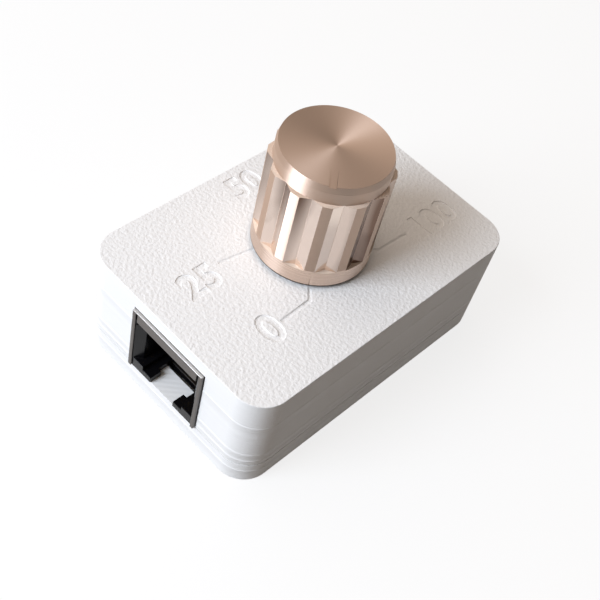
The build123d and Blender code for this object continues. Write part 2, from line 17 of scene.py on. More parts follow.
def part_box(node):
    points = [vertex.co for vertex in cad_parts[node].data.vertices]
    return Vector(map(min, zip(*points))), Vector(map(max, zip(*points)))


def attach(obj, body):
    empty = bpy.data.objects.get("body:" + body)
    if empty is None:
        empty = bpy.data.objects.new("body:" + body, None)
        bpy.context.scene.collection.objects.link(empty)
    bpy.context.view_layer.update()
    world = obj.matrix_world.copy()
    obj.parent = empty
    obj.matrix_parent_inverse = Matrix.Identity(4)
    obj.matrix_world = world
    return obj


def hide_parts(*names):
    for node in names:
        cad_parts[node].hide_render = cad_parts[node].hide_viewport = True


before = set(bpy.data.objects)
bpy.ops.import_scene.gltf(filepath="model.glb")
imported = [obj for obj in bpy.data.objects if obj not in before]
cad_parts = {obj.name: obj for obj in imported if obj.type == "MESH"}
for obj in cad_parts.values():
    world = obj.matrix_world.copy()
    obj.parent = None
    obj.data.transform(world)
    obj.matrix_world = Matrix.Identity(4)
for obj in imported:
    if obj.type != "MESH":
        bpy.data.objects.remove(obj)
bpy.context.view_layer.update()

MM = 0.001

# %% [markdown]
# ## Camera
# A product shot of a small thing is taken from about a hand's span away, so its lines converge a
# little. The camera stands high on the jack's side, looks down at the middle of the box and is
# rolled a little about its own axis. A lens slightly longer than the default fills the frame from
# there. The aim point and the roll are easier to adjust than three Euler angles.

# %% Camera at the photograph's angle
camera_place = Vector((-97.45, -64.30, 144.0)) * MM
camera_aim = Vector((-2.17, -2.73, 10.0)) * MM
camera_roll = 16.34
camera_lens = 62.14

bpy.ops.object.select_all(action="DESELECT")
bpy.ops.object.camera_add(location=camera_place)
camera = bpy.context.object
camera.name = "camera"
camera.data.lens = camera_lens
camera.data.clip_start = 1 * MM
look = (camera_aim - camera_place).to_track_quat("-Z", "Y")
roll = Quaternion((0, 0, 1), radians(camera_roll))
camera.rotation_euler = (look @ roll).to_euler()
bpy.context.scene.camera = camera
print("camera distance in mm", round((camera_aim - camera_place).length / MM))

# %% [markdown]
# ## Colours and nodes
# Paint charts and photographs give colours as sRGB hex values, but a shader works with linear
# light, so one function turns one into the other. A second small function adds a node, sets its
# inputs and links it, which keeps each material as short as its idea.

# %% Helpers for colours and nodes
def linear(code):
    """Linear colour with alpha from an sRGB hex value."""
    parts = [int(code[i : i + 2], 16) / 255 for i in (1, 3, 5)]
    bent = [p / 12.92 if p <= 0.04045 else ((p + 0.055) / 1.055) ** 2.4 for p in parts]
    return (*bent, 1.0)


def add_node(tree, kind, settings=None, **inputs):
    """Add a node. settings are its options; an input is a value or another node's output."""
    node = tree.nodes.new(kind)
    for option, value in (settings or {}).items():
        setattr(node, option, value)
    for label, value in inputs.items():
        key = int(label[1:]) if label[1:].isdigit() else label.replace("_", " ")
        if isinstance(value, bpy.types.NodeSocket):
            tree.links.new(value, node.inputs[key])
        else:
            node.inputs[key].default_value = value
    return node


def new_material(name, **surface):
    """A material with one Principled shader, its constant values set on the shader's own sockets."""
    material = bpy.data.materials.new(name)
    material.use_nodes = True
    shader = material.node_tree.nodes["Principled BSDF"]
    for label, value in surface.items():
        shader.inputs[label.replace("_", " ")].default_value = value
    return material, material.node_tree, shader


add = {"operation": "ADD"}
multiply = {"operation": "MULTIPLY"}
power = {"operation": "POWER"}
largest = {"operation": "MAXIMUM"}
scale = {"operation": "SCALE"}
dot = {"operation": "DOT_PRODUCT"}
greater = {"operation": "GREATER_THAN"}
positive = {"operation": "ABSOLUTE"}
sine = {"operation": "SINE"}
one_way = {"noise_dimensions": "1D"}
blend_colours = {"data_type": "RGBA"}
blend_numbers = {"data_type": "FLOAT"}
print("white in linear light", linear("#FFFFFF"))

# %% [markdown]
# ## Floor
# The object stands on a plain pale table. To the rays that light the object the table is a warm
# grey, so little light comes back up from it. To the rays that come from the camera or from a
# shiny surface it is white, and a share of plain white light is mixed in, so the background stays
# white while the object's own shadow still falls on it.

# %% Floor
floor_size = 4000
floor_code = "#706860"
floor_share_of_white = 0.8

bpy.ops.object.select_all(action="DESELECT")
bpy.ops.mesh.primitive_plane_add(size=floor_size * MM)
floor = bpy.context.object
floor.name = "floor"
table_top = bpy.data.materials.new("table_top")
table_top.use_nodes = True
tree = table_top.node_tree
tree.nodes.clear()
rays = add_node(tree, "ShaderNodeLightPath").outputs
seen = add_node(tree, "ShaderNodeMath", largest, i0=rays["Is Camera Ray"], i1=rays["Is Glossy Ray"])
seen = add_node(tree, "ShaderNodeMath", largest, i0=seen.outputs[0], i1=rays["Is Transmission Ray"])
share = add_node(tree, "ShaderNodeMath", multiply, i0=seen.outputs[0], i1=floor_share_of_white)
tone = add_node(
    tree, "ShaderNodeMix", blend_colours, i0=seen.outputs[0], i6=linear(floor_code), i7=linear("#FFFFFF")
)
matt = add_node(tree, "ShaderNodeBsdfDiffuse", Color=tone.outputs[2])
glow = add_node(tree, "ShaderNodeEmission", Color=linear("#FFFFFF"), Strength=1.0)
mixed = add_node(tree, "ShaderNodeMixShader", Fac=share.outputs[0], i1=matt.outputs[0], i2=glow.outputs[0])
add_node(tree, "ShaderNodeOutputMaterial", Surface=mixed.outputs[0])
floor.data.materials.append(table_top)
print("floor", floor.dimensions.x, "m wide")

# %% [markdown]
# ## Lamps
# One large lamp stands low off the jack's end, a little to its far side, like a tall window. It
# makes that end nearly white, leaves the long near side in shade and throws the knob's shadow along
# the box. A second, much weaker lamp stands low in front of the long side, where a white card would
# be. Angles are in degrees, sizes in millimetres.

# %% Lamps
def add_lamp(name, azimuth, elevation, distance, width, height, watts, code):
    """A soft rectangular lamp that faces the box, placed by its direction."""
    level = cos(radians(elevation))
    away = Vector((level * cos(radians(azimuth)), level * sin(radians(azimuth)), sin(radians(elevation))))
    bpy.ops.object.select_all(action="DESELECT")
    bpy.ops.object.light_add(type="AREA", location=away * distance * MM)
    lamp = bpy.context.object
    lamp.name = name
    lamp.rotation_euler = away.to_track_quat("Z", "Y").to_euler()
    lamp.data.shape = "RECTANGLE"
    lamp.data.size = width * MM
    lamp.data.size_y = height * MM
    lamp.data.energy = watts
    lamp.data.color = linear(code)[:3]
    return lamp


add_lamp(
    "window", azimuth=162, elevation=32, distance=500, width=240, height=420, watts=2.88, code="#E4F0FF"
)
add_lamp(
    "card", azimuth=-82, elevation=14, distance=500, width=260, height=60, watts=0.05, code="#FFE2C8"
)

# %% [markdown]
# ## World
# The rest of the room is one smooth sweep from a warm dark in front to a soft bright behind. It
# fills the shadows a little, and a metal mirrors it, which gives the knob its brown tones. Near
# the horizon it turns white for the rays that the camera or a shiny surface sends out, so the
# floor's far edge is only faint in a low view.

# %% World
bright_side = Vector((-0.40, 0.75, 0.53))
dark_code = "#1C1816"
bright_code = "#F6E6D8"
sweep_start = -0.3
sweep_end = 0.8
sweep_bend = 1.3
horizon_top = 0.22
horizon_fade = 0.12

world = bpy.context.scene.world or bpy.data.worlds.new("studio")
bpy.context.scene.world = world
world.use_nodes = True
tree = world.node_tree
tree.nodes.clear()
side = add_node(tree, "ShaderNodeTexCoord")
facing = add_node(tree, "ShaderNodeVectorMath", dot, i0=side.outputs["Generated"], i1=bright_side)
ramp = add_node(tree, "ShaderNodeMapRange", Value=facing.outputs["Value"], i1=sweep_start, i2=sweep_end)
bend = add_node(tree, "ShaderNodeMath", power, i0=ramp.outputs[0], i1=sweep_bend)
sweep = add_node(
    tree, "ShaderNodeMix", blend_colours, i0=bend.outputs[0], i6=linear(dark_code), i7=linear(bright_code)
)
rays = add_node(tree, "ShaderNodeLightPath").outputs
seen = add_node(tree, "ShaderNodeMath", largest, i0=rays["Is Camera Ray"], i1=rays["Is Glossy Ray"])
seen = add_node(tree, "ShaderNodeMath", largest, i0=seen.outputs[0], i1=rays["Is Transmission Ray"])
height = add_node(tree, "ShaderNodeSeparateXYZ", Vector=side.outputs["Generated"]).outputs["Z"]
near = add_node(
    tree, "ShaderNodeMapRange", Value=height, i1=horizon_top - horizon_fade, i2=horizon_top, i3=1, i4=0
)
share = add_node(tree, "ShaderNodeMath", multiply, i0=seen.outputs[0], i1=near.outputs[0])
tone = add_node(
    tree, "ShaderNodeMix", blend_colours, i0=share.outputs[0], i6=sweep.outputs[2], i7=linear("#FFFFFF")
)
sky = add_node(tree, "ShaderNodeBackground", Color=tone.outputs[2], Strength=1.0)
add_node(tree, "ShaderNodeOutputWorld", Surface=sky.outputs[0])
bpy.context.scene.view_settings.view_transform = "Standard"
print("world set")

# %% [markdown]
# ## Modelling helpers
# An operator acts on whatever is selected, and loading the model leaves its nodes selected, so each
# step first picks only the piece it works on. Faces and edges are picked by their place or
# direction, as one would by eye. Two places count as one when they are close in millimetres, and a
# face looks up or down when most of its normal does. Applying the transforms at the end leaves
# each object at the origin with its place in its mesh, as the CAD nodes have it.

# %% Helpers for pieces
weld_gap = 0.002
flat_angle = 0.3
close = 0.01
mostly = 0.9


def pick_only(*pieces):
    """Select only these objects, the last one active."""
    bpy.ops.object.select_all(action="DESELECT")
    for piece in pieces:
        piece.select_set(True)
    bpy.context.view_layer.objects.active = pieces[-1]


def settle(piece):
    """Put the piece's place, turn and scale into its mesh."""
    pick_only(piece)
    bpy.ops.object.transform_apply(location=True, rotation=True, scale=True)
    return piece


def pick_faces(piece, wanted):
    """In edit mode, pick only the faces whose middle (in mm) and normal fit, and count them."""
    bpy.ops.mesh.select_mode(type="FACE")
    bpy.ops.mesh.select_all(action="DESELECT")
    mesh = bmesh.from_edit_mesh(piece.data)
    for face in mesh.faces:
        face.select_set(wanted(face.calc_center_median() / MM, face.normal))
    bmesh.update_edit_mesh(piece.data)
    return sum(face.select for face in mesh.faces)


def pick_edges(piece, wanted):
    """In edit mode, pick only the edges whose two ends (in mm) fit, and count them."""
    bpy.ops.mesh.select_mode(type="EDGE")
    bpy.ops.mesh.select_all(action="DESELECT")
    mesh = bmesh.from_edit_mesh(piece.data)
    for edge in mesh.edges:
        edge.select_set(wanted(edge.verts[0].co / MM, edge.verts[1].co / MM))
    bmesh.update_edit_mesh(piece.data)
    return sum(edge.select for edge in mesh.edges)


def use_modifier(piece, kind, **options):
    """Add a modifier, set it and apply it."""
    pick_only(piece)
    modifier = piece.modifiers.new(kind.title(), kind)
    for option, value in options.items():
        setattr(modifier, option, value)
    bpy.ops.object.modifier_apply(modifier=modifier.name)


def smooth_edges(piece, angle=32):
    """Shade the piece smooth, except across edges sharper than the angle, and keep flat faces flat."""
    pick_only(piece)
    bpy.ops.object.shade_smooth_by_angle(angle=radians(angle))
    use_modifier(piece, "WEIGHTED_NORMAL", keep_sharp=True)


def welded_copy(node, name):
    """A copy of a CAD node with its loose triangles joined and its flat faces made whole."""
    piece = bpy.data.objects.new(name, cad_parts[node].data.copy())
    bpy.context.scene.collection.objects.link(piece)
    pick_only(piece)
    bpy.ops.object.mode_set(mode="EDIT")
    bpy.ops.mesh.select_all(action="SELECT")
    bpy.ops.mesh.remove_doubles(threshold=weld_gap * MM)
    bpy.ops.mesh.dissolve_limited(angle_limit=radians(flat_angle))
    bpy.ops.mesh.normals_make_consistent(inside=False)
    bpy.ops.object.mode_set(mode="OBJECT")
    piece.data.materials.clear()
    return piece


def cut_away(piece, *cutters):
    """Cut closed shapes out of a piece and delete them."""
    for cutter in cutters:
        use_modifier(piece, "BOOLEAN", operation="DIFFERENCE", solver="EXACT", object=cutter)
        bpy.data.objects.remove(cutter)


print("helpers ready")

# %% [markdown]
# ## White printed PLA
# The box is a filament print in white PLA, a hard slightly waxy plastic. Its top was printed with a
# fuzzy skin that leaves small pebbles about 0.6 mm across, and its sides show the layer lines as
# fine level ridges. Both are relief of about a tenth of a millimetre at most, so they go into the
# bump. We start with a noise for the pebbles, its scale worked out from their size.

# %% Pebbles on the top
pla_code = "#F0F0EF"
pebble_size = 0.57
pebble_height = 0.135
box_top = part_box("housing_shell")[1].z / MM

white_pla, tree, shader = new_material("white_printed_pla", Base_Color=linear(pla_code), IOR=1.46)
place = add_node(tree, "ShaderNodeTexCoord")
in_mm = add_node(tree, "ShaderNodeVectorMath", scale, i0=place.outputs["Object"], Scale=1 / MM)
spot = in_mm.outputs[0]
level = add_node(tree, "ShaderNodeSeparateXYZ", Vector=spot).outputs["Z"]
pebbles = add_node(tree, "ShaderNodeTexNoise", Vector=spot, Scale=1 / pebble_size, Detail=2.0)
top = add_node(tree, "ShaderNodeMath", multiply, i0=pebbles.outputs[0], i1=pebble_height)
print("material", white_pla.name)

# %% [markdown]
# ## Layer lines
# Each layer of the print bulges a little, and no two by the same amount. A sine along Z gives the
# even ridges and a one-dimensional noise makes them uneven. A few layers stand out where the
# print slowed: they swell slowly from below and end in a short step that catches the light.
# The real layers are 0.2 mm and too fine to show, so they are drawn at 0.5 mm.

# %% Layer lines on the sides
layer_height = 0.5
layer_relief = 0.005
uneven_per_mm = 1.1
uneven_relief = 0.045
strong_layers = (15.0, 7.4, 5.6, 2.6)
strong_layer_relief = 0.12
strong_layer_rise = 1.2
strong_layer_fall = 0.4

turn = add_node(tree, "ShaderNodeMath", multiply, i0=level, i1=2 * pi / layer_height)
wave = add_node(tree, "ShaderNodeMath", sine, i0=turn.outputs[0])
even = add_node(tree, "ShaderNodeMath", multiply, i0=wave.outputs[0], i1=layer_relief)
uneven = add_node(tree, "ShaderNodeTexNoise", one_way, W=level, Scale=uneven_per_mm, Detail=3.0)
uneven = add_node(tree, "ShaderNodeMath", multiply, i0=uneven.outputs[0], i1=uneven_relief)
sides = add_node(tree, "ShaderNodeMath", add, i0=even.outputs[0], i1=uneven.outputs[0])
for strong in strong_layers:
    for start, end, change in (
        (strong - strong_layer_rise, strong, strong_layer_relief),
        (strong, strong + strong_layer_fall, -strong_layer_relief),
    ):
        flank = add_node(tree, "ShaderNodeMapRange", Value=level, i1=start, i2=end, i3=0, i4=change)
        sides = add_node(tree, "ShaderNodeMath", add, i0=sides.outputs[0], i1=flank.outputs[0])
print("strong layers at", strong_layers, "mm")

# %% [markdown]
# ## Roads, and which face gets what
# The level faces below the top, such as the floor of the jack's opening, show the roads of plastic
# that the nozzle laid, as stripes at 45 degrees. The object's own normal tells the sides from the
# level faces, and the height tells the top from the ones below it. The bump's distance is one
# millimetre, so every relief above is written in millimetres. A coarse noise makes the gloss
# uneven, as the plastic cooled unevenly.

# %% Roads, bump and gloss
road_width = 0.9
road_relief = 0.01
road_direction = (0.7071, 0.7071, 0)
top_margin = 0.6
level_from = 0.7
gloss_per_mm = 0.35
rough_least = 0.44
rough_most = 0.60

across = add_node(tree, "ShaderNodeVectorMath", dot, i0=spot, i1=road_direction)
turn = add_node(tree, "ShaderNodeMath", multiply, i0=across.outputs["Value"], i1=2 * pi / road_width)
roads = add_node(tree, "ShaderNodeMath", sine, i0=turn.outputs[0])
roads = add_node(tree, "ShaderNodeMath", multiply, i0=roads.outputs[0], i1=road_relief)
above = add_node(tree, "ShaderNodeMath", greater, i0=level, i1=box_top - top_margin)
flat = add_node(
    tree, "ShaderNodeMix", blend_numbers, i0=above.outputs[0], i2=roads.outputs[0], i3=top.outputs[0]
)
normal = add_node(tree, "ShaderNodeSeparateXYZ", Vector=place.outputs["Normal"])
slope = add_node(tree, "ShaderNodeMath", positive, i0=normal.outputs["Z"])
is_level = add_node(tree, "ShaderNodeMath", greater, i0=slope.outputs[0], i1=level_from)
relief = add_node(
    tree, "ShaderNodeMix", blend_numbers, i0=is_level.outputs[0], i2=sides.outputs[0], i3=flat.outputs[0]
)
bump = add_node(tree, "ShaderNodeBump", Height=relief.outputs[0], Distance=MM, Strength=1.0)
tree.links.new(bump.outputs[0], shader.inputs["Normal"])
patches = add_node(tree, "ShaderNodeTexNoise", Vector=spot, Scale=gloss_per_mm, Detail=2.0)
rough = add_node(tree, "ShaderNodeMapRange", Value=patches.outputs[0], i3=rough_least, i4=rough_most)
tree.links.new(rough.outputs[0], shader.inputs["Roughness"])
print("nodes in the material", len(tree.nodes))

# %% [markdown]
# ## Champagne aluminium
# The knob is turned from aluminium and anodised a pale champagne. The flutes are milled with a
# polished cutter, so they mirror the room, with faint streaks along the cut. Broad upright patches
# about 8 mm wide are painted darker at random: painted reflection that stands in for the dark
# surroundings that the flutes mirror. The small ledges where the cutter stopped stay rougher, since
# only its end has touched them, and they are painted a little paler, as painted highlight. The thin
# walls of the pointer slot are painted dark, as painted shade in the narrow groove. The scales of
# the streaks and the patches are per metre along X, Y and Z.

# %% Milled champagne aluminium
streak_scale = (900, 900, 60)
patch_scale = (130, 130, 30)
patch_shift = (9.3, 3, 1)
patch_dark_at = 0.35
patch_light_at = 0.6

milled_finishes = []
for name, dark, light, low, high in (
    ("milled_champagne_aluminium", "#6E584C", "#E4D3C7", 0.12, 0.22),
    # Ledges: painted a little paler than the flutes, as painted highlight.
    ("painted_highlight_ledge_aluminium", "#E6D8CB", "#F0E5DA", 0.80, 0.95),
    # Pointer slot walls: painted dark, as painted shade in the narrow groove.
    ("painted_shade_slot_aluminium", "#2E2622", "#4A3E37", 0.50, 0.70),
):
    finish, tree, shader = new_material(name, Metallic=1.0)
    place = add_node(tree, "ShaderNodeTexCoord")
    streak = add_node(tree, "ShaderNodeMapping", Vector=place.outputs["Object"], Scale=streak_scale)
    streaks = add_node(tree, "ShaderNodeTexNoise", Vector=streak.outputs[0], Scale=1.0, Detail=2.0)
    rough = add_node(tree, "ShaderNodeMapRange", Value=streaks.outputs[0], i3=low, i4=high)
    tree.links.new(rough.outputs[0], shader.inputs["Roughness"])
    # Painted reflection: random upright patches darken the colour in place of the dark room the flutes
    # mirror.
    patch = add_node(
        tree, "ShaderNodeMapping", Vector=place.outputs["Object"], Location=patch_shift, Scale=patch_scale
    )
    patches = add_node(tree, "ShaderNodeTexNoise", Vector=patch.outputs[0], Scale=1.0, Detail=1.0)
    patches = add_node(
        tree, "ShaderNodeMapRange", Value=patches.outputs[0], i1=patch_dark_at, i2=patch_light_at
    )
    tone = add_node(
        tree, "ShaderNodeMix", blend_colours, i0=patches.outputs[0], i6=linear(dark), i7=linear(light)
    )
    tree.links.new(tone.outputs[2], shader.inputs["Base Color"])
    milled_finishes.append(finish)
milled_champagne, painted_highlight_ledge_champagne, painted_shade_slot_champagne = milled_finishes
print("materials", [finish.name for finish in milled_finishes])

# %% [markdown]
# ## Turned and faced champagne aluminium
# The band, the neck and the top come from the lathe. Its fine rings spread each highlight across
# them: into a bright upright stripe on the sides, and into bright wedges that run out from the
# middle of the top. An anisotropic shader with a tangent that runs round the Z axis does both, and
# a quarter turn lays the spread across the rings. The few rings that the eye can see are a very
# low relief. On the top the tool leaves saw-tooth rings whose long flank leans inward, so the
# height also rises outward by a small slope. It makes the far wedge the brighter one. The band is
# polished finer than the rest, so roughness also depends on the height. The broken edge at the
# foot, the lowest half millimetre, is painted dark: painted shade for the shadowed gap under the
# knob, which that edge mirrors.

# %% Turned and faced champagne aluminium
turned_code = "#DCC5B5"
ring_pitch = 0.2
ring_relief = 0.0008
rough_spread = 0.08
# The dark foot colour is painted shade for the gap under the knob.
painted_foot_shade_code = "#4A3C35"
polished_below = 25.0
painted_foot_shade_height = 0.5
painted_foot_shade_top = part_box("knob_body")[0].z / MM + painted_foot_shade_height
ring_turn = 0.25

turned_finishes = []
for name, rough_band, rough_above, spread, across, flank in (
    ("turned_champagne_aluminium", 0.22, 0.48, 1.0, (0, 0, 1), 0.0),
    ("faced_champagne_aluminium", 0.46, 0.46, 0.7, (1, 1, 0), 0.12),
):
    finish, tree, shader = new_material(
        name, Metallic=1.0, Anisotropic=spread, Anisotropic_Rotation=ring_turn
    )
    round_z = add_node(tree, "ShaderNodeTangent", {"direction_type": "RADIAL", "axis": "Z"})
    tree.links.new(round_z.outputs[0], shader.inputs["Tangent"])
    place = add_node(tree, "ShaderNodeTexCoord")
    in_mm = add_node(tree, "ShaderNodeVectorMath", scale, i0=place.outputs["Object"], Scale=1 / MM)
    flat = add_node(tree, "ShaderNodeVectorMath", multiply, i0=in_mm.outputs[0], i1=across)
    reach = add_node(tree, "ShaderNodeVectorMath", {"operation": "LENGTH"}, i0=flat.outputs[0])
    reach = reach.outputs["Value"]
    rings = add_node(tree, "ShaderNodeTexNoise", one_way, W=reach, Scale=1 / ring_pitch)
    level = add_node(tree, "ShaderNodeSeparateXYZ", Vector=in_mm.outputs[0]).outputs["Z"]
    # Painted shade: the lowest half millimetre of the knob is painted dark for the shadowed gap under it.
    clear = add_node(tree, "ShaderNodeMath", greater, i0=level, i1=painted_foot_shade_top).outputs[0]
    tone = add_node(
        tree, "ShaderNodeMix", blend_colours, i0=clear, i6=linear(painted_foot_shade_code), i7=linear(turned_code)
    )
    tree.links.new(tone.outputs[2], shader.inputs["Base Color"])
    is_above = add_node(tree, "ShaderNodeMath", greater, i0=level, i1=polished_below)
    rough = add_node(tree, "ShaderNodeMapRange", Value=is_above.outputs[0], i3=rough_band, i4=rough_above)
    uneven = add_node(tree, "ShaderNodeMath", multiply, i0=rings.outputs[0], i1=rough_spread)
    rough = add_node(tree, "ShaderNodeMath", add, i0=rough.outputs[0], i1=uneven.outputs[0])
    tree.links.new(rough.outputs[0], shader.inputs["Roughness"])
    groove = add_node(tree, "ShaderNodeMath", multiply, i0=rings.outputs[0], i1=ring_relief)
    lean = add_node(tree, "ShaderNodeMath", multiply, i0=reach, i1=flank)
    relief = add_node(tree, "ShaderNodeMath", add, i0=groove.outputs[0], i1=lean.outputs[0])
    bump = add_node(tree, "ShaderNodeBump", Height=relief.outputs[0], Distance=MM, Strength=1.0)
    tree.links.new(bump.outputs[0], shader.inputs["Normal"])
    turned_finishes.append(finish)
turned_champagne, faced_champagne = turned_finishes
print("materials", turned_champagne.name, faced_champagne.name)

# %% [markdown]
# ## The engraved dial
# The dial's numbers and ticks are printed as shallow grooves with soft, slanted walls. Each number
# is set as text, with a small curve bevel that slants its walls, made a mesh, scaled to the height
# of the real one and cut into the top with a boolean. The ticks are bars whose lower face is
# narrower, cut in the same way. Where a number or a tick stands is written as X and Y on the top.

# %% Cutters for the dial
text_size_share = 1.4
text_floor = 0.02
text_steps = 6
number_slant = 0.18
number_depth_share = 0.8
stroke_gain = 0.1
tick_slant = 0.26
tick_depth = 0.22


def number_cutter(words, middle, height, gap):
    """A number as a closed shape across the box's top, reading along X."""
    bpy.ops.object.select_all(action="DESELECT")
    bpy.ops.object.text_add(location=(0, 0, 0))
    piece = bpy.context.object
    piece.data.body = words
    piece.data.size = height * text_size_share * MM
    piece.data.space_character = gap
    piece.data.resolution_u = text_steps
    piece.data.extrude = text_floor * MM
    piece.data.bevel_depth = number_slant * MM
    piece.data.offset = stroke_gain * MM
    bpy.ops.object.convert(target="MESH")
    piece = bpy.context.object
    piece.name = "number_" + words
    corners = [Vector(c) for c in piece.bound_box]
    low, high = corners[0], corners[6]
    fit = height * MM / (high.y - low.y)
    piece.scale = (fit, fit, number_depth_share)
    piece.location = Vector((*middle, box_top)) * MM - Vector((low.x + high.x, low.y + high.y, 0)) * fit / 2
    return settle(piece)


def tick_cutter(name, route, width):
    """A groove along a route of points, as one bar for each run, its lower face narrower."""
    bars = []
    for start, end in zip(route, route[1:]):
        run = Vector(end) - Vector(start)
        middle = (Vector(start) + Vector(end)) / 2
        long = run.length + width
        bpy.ops.object.select_all(action="DESELECT")
        bpy.ops.mesh.primitive_cube_add(size=1, location=(0, 0, 0))
        bar = bpy.context.object
        bar.name = name
        bar.scale = (long * MM, width * MM, 2 * tick_depth * MM)
        settle(bar)
        bpy.ops.object.mode_set(mode="EDIT")
        pick_faces(bar, lambda middle, normal: normal.z < -mostly)
        narrower = (1 - 2 * tick_slant / long, 1 - 2 * tick_slant / width, 1)
        bpy.ops.transform.resize(value=narrower, center_override=(0, 0, 0))
        bpy.ops.object.mode_set(mode="OBJECT")
        bar.rotation_euler.z = run.to_2d().angle_signed(Vector((1, 0)))
        bar.location = Vector((*middle, box_top)) * MM
        bars.append(settle(bar))
    return bars


dial_numbers = [
    ("0", (-17.6, -9.0), 5.7),
    ("25", (-20.25, 4.3), 5.2),
    ("50", (0.0, 15.9), 5.0),
    ("75", (20.25, 4.3), 5.2),
    ("100", (22.0, -8.6), 5.0),
]
dial_ticks = {
    "tick_0": [(-15.0, -9.0), (-8.8, -8.8), (-7.2, -7.2)],
    "tick_25": [(-15.1, 5.3), (-8.5, 4.2)],
    "tick_50": [(0.0, 9.5), (0.0, 12.4)],
    "tick_75": [(8.5, 4.2), (15.1, 5.3)],
    "tick_100": [(7.2, -7.2), (8.4, -8.1), (14.6, -8.4)],
}
tick_width = 1.0
number_gap = 1.05
cutters = [number_cutter(*number, number_gap) for number in dial_numbers]
for name, route in dial_ticks.items():
    cutters += tick_cutter(name, route, tick_width)
print("cutters", len(cutters))

# %% [markdown]
# ## The shell
# The shell is a welded copy of the CAD shell, so it keeps every wall and boss. Its top edge gets a
# very small rounding, since the print's edge is crisp. Its lower rim is raised a little: two
# prints laid on each other leave a thin gap, which reads as the dark line round the box.

# %% Shell
shell = welded_copy("housing_shell", "printed_shell")
seam_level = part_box("housing_shell")[0].z / MM
seam_gap = 0.2
top_round = 0.12
outline_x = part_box("housing_shell")[1].x / MM
outline_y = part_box("housing_shell")[1].y / MM
outline_corner = 5.2


def on_outline(point, level):
    """True for a point on the box's outside at this level, corners included."""
    if abs(point.z - level) > close:
        return False
    x = max(abs(point.x) - (outline_x - outline_corner), 0)
    y = max(abs(point.y) - (outline_y - outline_corner), 0)
    straight = abs(point.x) > outline_x - close or abs(point.y) > outline_y - close
    return straight or abs((x * x + y * y) ** 0.5 - outline_corner) < 2 * close


bpy.ops.object.mode_set(mode="EDIT")
edges = pick_edges(shell, lambda a, b: on_outline(a, box_top) and on_outline(b, box_top))
bpy.ops.mesh.bevel(offset=top_round * MM, segments=3, affect="EDGES")
rims = pick_faces(
    shell, lambda middle, normal: normal.z < -mostly and abs(middle.z - seam_level) < close
)
bpy.ops.transform.translate(value=(0, 0, seam_gap * MM))
bpy.ops.object.mode_set(mode="OBJECT")
cut_away(shell, *cutters)
smooth_edges(shell)
shell.data.materials.append(white_pla)
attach(shell, "housing")
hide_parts("housing_shell")
print("edges rounded", edges, "rim faces raised", rims, "faces", len(shell.data.polygons))

# %% [markdown]
# ## The base cover
# The cover closes the box from below. It is a welded copy too, with only its lowest outer edge
# rounded, where the first layer of a print spreads and is trimmed.

# %% Base cover
cover = welded_copy("base_cover", "printed_cover")
bpy.ops.object.mode_set(mode="EDIT")
edges = pick_edges(cover, lambda a, b: on_outline(a, 0) and on_outline(b, 0))
bpy.ops.mesh.bevel(offset=top_round * MM, segments=2, affect="EDGES")
bpy.ops.object.mode_set(mode="OBJECT")
smooth_edges(cover)
cover.data.materials.append(white_pla)
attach(cover, "housing")
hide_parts("base_cover")
print("cover edges rounded", edges)

# %% [markdown]
# ## The knob's blank
# On the lathe the knob is one bar: a full-width lower part with a broken edge at the foot, a neck
# and a steep bevel. We start with a cylinder of the full width and build the neck by insetting and
# extruding its top face. The foot's edge is rounded in small steps, and the hollow under it and the
# bore come from the bottom face as the neck came from the top. That face is the only one that
# looks straight down, since the last step of the rounding still leans a little.

# %% Knob blank
knob_low, knob_high = (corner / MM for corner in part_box("knob_body"))
knob_radius = knob_high.x
neck_radius = 9.2
neck_height = 3.2
bevel_height = 1.1
bevel_slope = 0.3
foot_round = 0.45
foot_steps = 8
straight_down = -0.999
hollow_radius = 7.6
hollow_depth = 4.4
bore_radius = 5.02
bore_depth = 12.6
round_sides = 216

blank_top = knob_high.z - neck_height
bpy.ops.object.select_all(action="DESELECT")
bpy.ops.mesh.primitive_cylinder_add(
    vertices=round_sides,
    radius=knob_radius * MM,
    depth=(blank_top - knob_low.z) * MM,
    location=(0, 0, (blank_top + knob_low.z) / 2 * MM),
)
knob = settle(bpy.context.object)
knob.name = "fluted_knob"


def raise_faces(height):
    """Extrude the picked faces along Z."""
    bpy.ops.mesh.extrude_region_move(TRANSFORM_OT_translate={"value": (0, 0, height * MM)})


def narrow_faces(share):
    """Scale the picked faces towards the knob's axis."""
    bpy.ops.transform.resize(value=(share, share, 1), center_override=(0, 0, 0))


bpy.ops.object.mode_set(mode="EDIT")
pick_faces(knob, lambda middle, normal: normal.z > mostly)
bpy.ops.mesh.inset(thickness=(knob_radius - neck_radius) * MM)
raise_faces(neck_height - bevel_height)
raise_faces(bevel_height)
narrow_faces((neck_radius - bevel_slope) / neck_radius)
pick_edges(knob, lambda a, b: max(a.z, b.z) < knob_low.z + close)
bpy.ops.mesh.bevel(offset=foot_round * MM, segments=foot_steps, affect="EDGES")
pick_faces(knob, lambda middle, normal: normal.z < straight_down)
bpy.ops.mesh.inset(thickness=(knob_radius - foot_round - hollow_radius) * MM)
raise_faces(hollow_depth)
bpy.ops.mesh.inset(thickness=(hollow_radius - bore_radius) * MM)
raise_faces(bore_depth)
bpy.ops.object.mode_set(mode="OBJECT")
print("knob blank", [round(v / MM, 2) for v in knob.dimensions])

# %% [markdown]
# ## Flutes
# A V-shaped cutter leaves twelve grooves that start above the plain band and run up to the neck.
# The cutter here is a four-sided cylinder, stretched until its corner has the groove's depth and
# width, and turned to each place. The booleans cut them one by one.

# %% Flutes
flute_count = 12
flute_floor = 9.15
flute_half_width = 1.8
flute_past = 1.6
band_height = 3.4
pointer_angle = -140

